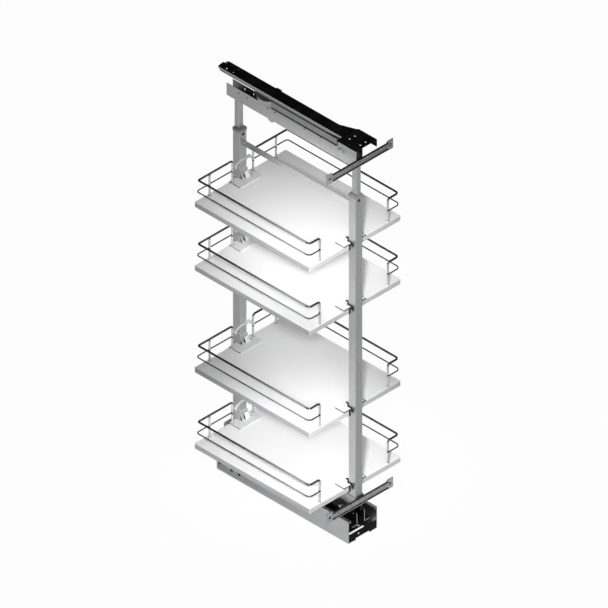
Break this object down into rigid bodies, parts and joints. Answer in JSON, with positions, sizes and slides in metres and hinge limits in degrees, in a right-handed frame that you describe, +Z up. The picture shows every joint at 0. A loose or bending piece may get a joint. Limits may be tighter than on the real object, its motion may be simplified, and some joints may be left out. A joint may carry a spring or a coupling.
{
  "type": "rotating pantry frame",
  "caption": "Tall pull-out pantry frame with clamped wire-railed trays on two posts, a floor runner and a ceiling rail, which slides out of its cabinet and turns.",
  "frame": {"origin": "on the cabinet floor under the base, on the swivel axis", "axes": "+X to the right seen from the door side, -Y towards the door and the user, +Z up"},
  "size_m": [0.3718, 0.585, 1.375],
  "materials": {
    "zinc_steel": "zinc plated sheet steel",
    "grey_steel": "grey powder coat",
    "chrome_wire": "polished chrome",
    "black_plate": "black coating",
    "black_plastic": "matte moulded",
    "rubber": "matte",
    "tray_white": "white laminated board",
    "grey_plastic": "matte moulded",
    "light_coat": "light powder coat",
    "bearing_steel": "turned steel"
  },
  "bodies": {
    "base": {"base_channel": "zinc_steel", "base_front_plate": "black_plate", "left_runner": "zinc_steel", "right_runner": "zinc_steel", "rear_buffers": "rubber"},
    "lower_middle": {"lower_middle": "zinc_steel"},
    "lower_carriage": {"lower_carriage": "zinc_steel", "carriage_shoes": "black_plastic", "lower_bearing_race": "bearing_steel", "lower_pivot_pin": "bearing_steel", "swivel_catch": "black_plastic"},
    "frame": {"catch_striker": "zinc_steel", "upper_bearing_race": "bearing_steel", "lower_beam": "zinc_steel", "beam_end_cap": "black_plastic", "front_post": "grey_steel", "back_post": "grey_steel", "front_collar": "grey_plastic", "back_collar": "grey_plastic", "cross_brace": "zinc_steel", "front_foot": "zinc_steel", "lower_door_bar": "grey_steel", "clamp_screws": "zinc_steel"},
    "top_rail": {"top_rail": "zinc_steel", "top_plate": "black_plate"},
    "top_middle": {"top_middle": "zinc_steel"},
    "top_carriage": {"top_carriage": "zinc_steel", "top_pivot_pin": "bearing_steel", "top_damper": "black_plastic", "top_clip": "zinc_steel"},
    "upper_frame": {"upper_channel": "grey_steel", "pivot_block": "black_plastic", "front_inner_tube": "grey_steel", "back_inner_tube": "grey_steel", "upper_door_bar": "grey_steel", "front_buffer": "black_plastic"},
    "tray_1": {"tray_1_board": "tray_white", "tray_1_left_rail": "chrome_wire", "tray_1_right_rail": "chrome_wire", "tray_1_front_clip": "light_coat", "tray_1_clamp": "light_coat"},
    "lever_1": {"tray_1_lever": "zinc_steel"},
    "tray_2": {"tray_2_board": "tray_white", "tray_2_left_rail": "chrome_wire", "tray_2_right_rail": "chrome_wire", "tray_2_front_clip": "light_coat", "tray_2_clamp": "light_coat"},
    "lever_2": {"tray_2_lever": "zinc_steel"},
    "tray_3": {"tray_3_board": "tray_white", "tray_3_left_rail": "chrome_wire", "tray_3_right_rail": "chrome_wire", "tray_3_front_clip": "light_coat", "tray_3_clamp": "light_coat"},
    "lever_3": {"tray_3_lever": "zinc_steel"},
    "tray_4": {"tray_4_board": "tray_white", "tray_4_left_rail": "chrome_wire", "tray_4_right_rail": "chrome_wire", "tray_4_front_clip": "light_coat", "tray_4_clamp": "light_coat"},
    "lever_4": {"tray_4_lever": "zinc_steel"}
  },
  "joints": [
    {"name": "pull_out", "type": "slide", "parent": "base", "child": "lower_carriage", "axis": [0, -1, 0], "range_m": [0, 0.575]},
    {"name": "lower_middle_slide", "type": "slide", "parent": "base", "child": "lower_middle", "axis": [0, -1, 0], "range_m": [0, 0.2875]},
    {"name": "swivel", "type": "hinge", "parent": "lower_carriage", "child": "frame", "pos_m": [0, 0, 0.096], "axis": [0, 0, 1], "range_deg": [-90, 90]},
    {"name": "height_adjust", "type": "slide", "parent": "base", "child": "top_rail", "axis": [0, 0, 1], "range_m": [-0.07, 0.1]},
    {"name": "top_middle_slide", "type": "slide", "parent": "top_rail", "child": "top_middle", "axis": [0, -1, 0], "range_m": [0, 0.2875]},
    {"name": "top_carriage_slide", "type": "slide", "parent": "top_rail", "child": "top_carriage", "axis": [0, -1, 0], "range_m": [0, 0.575]},
    {"name": "upper_swivel", "type": "hinge", "parent": "top_carriage", "child": "upper_frame", "pos_m": [0, 0, 1.316], "axis": [0, 0, 1], "range_deg": [-90, 90]},
    {"name": "tray_1_slide", "type": "slide", "parent": "frame", "child": "tray_1", "axis": [0, 0, 1], "range_m": [-0.01, 0.06]},
    {"name": "tray_2_slide", "type": "slide", "parent": "frame", "child": "tray_2", "axis": [0, 0, 1], "range_m": [-0.06, 0.12]},
    {"name": "tray_3_slide", "type": "slide", "parent": "frame", "child": "tray_3", "axis": [0, 0, 1], "range_m": [-0.1, 0.05]},
    {"name": "tray_4_slide", "type": "slide", "parent": "frame", "child": "tray_4", "axis": [0, 0, 1], "range_m": [-0.05, 0.018]},
    {"name": "lever_1_hinge", "type": "hinge", "parent": "tray_1", "child": "lever_1", "pos_m": [-0.0173, 0.236, 0.2025], "axis": [1, 0, 0], "range_deg": [0, 50]},
    {"name": "lever_2_hinge", "type": "hinge", "parent": "tray_2", "child": "lever_2", "pos_m": [-0.0173, 0.236, 0.469], "axis": [1, 0, 0], "range_deg": [0, 50]},
    {"name": "lever_3_hinge", "type": "hinge", "parent": "tray_3", "child": "lever_3", "pos_m": [-0.0173, 0.236, 0.82546], "axis": [1, 0, 0], "range_deg": [0, 50]},
    {"name": "lever_4_hinge", "type": "hinge", "parent": "tray_4", "child": "lever_4", "pos_m": [-0.0173, 0.236, 1.048], "axis": [1, 0, 0], "range_deg": [0, 50]}
  ],
  "couplings": [
    {"joint": "lower_middle_slide", "follows": "pull_out", "ratio": 0.5},
    {"joint": "top_middle_slide", "follows": "pull_out", "ratio": 0.5},
    {"joint": "top_carriage_slide", "follows": "pull_out", "ratio": 1},
    {"joint": "upper_swivel", "follows": "swivel", "ratio": 1}
  ]
}
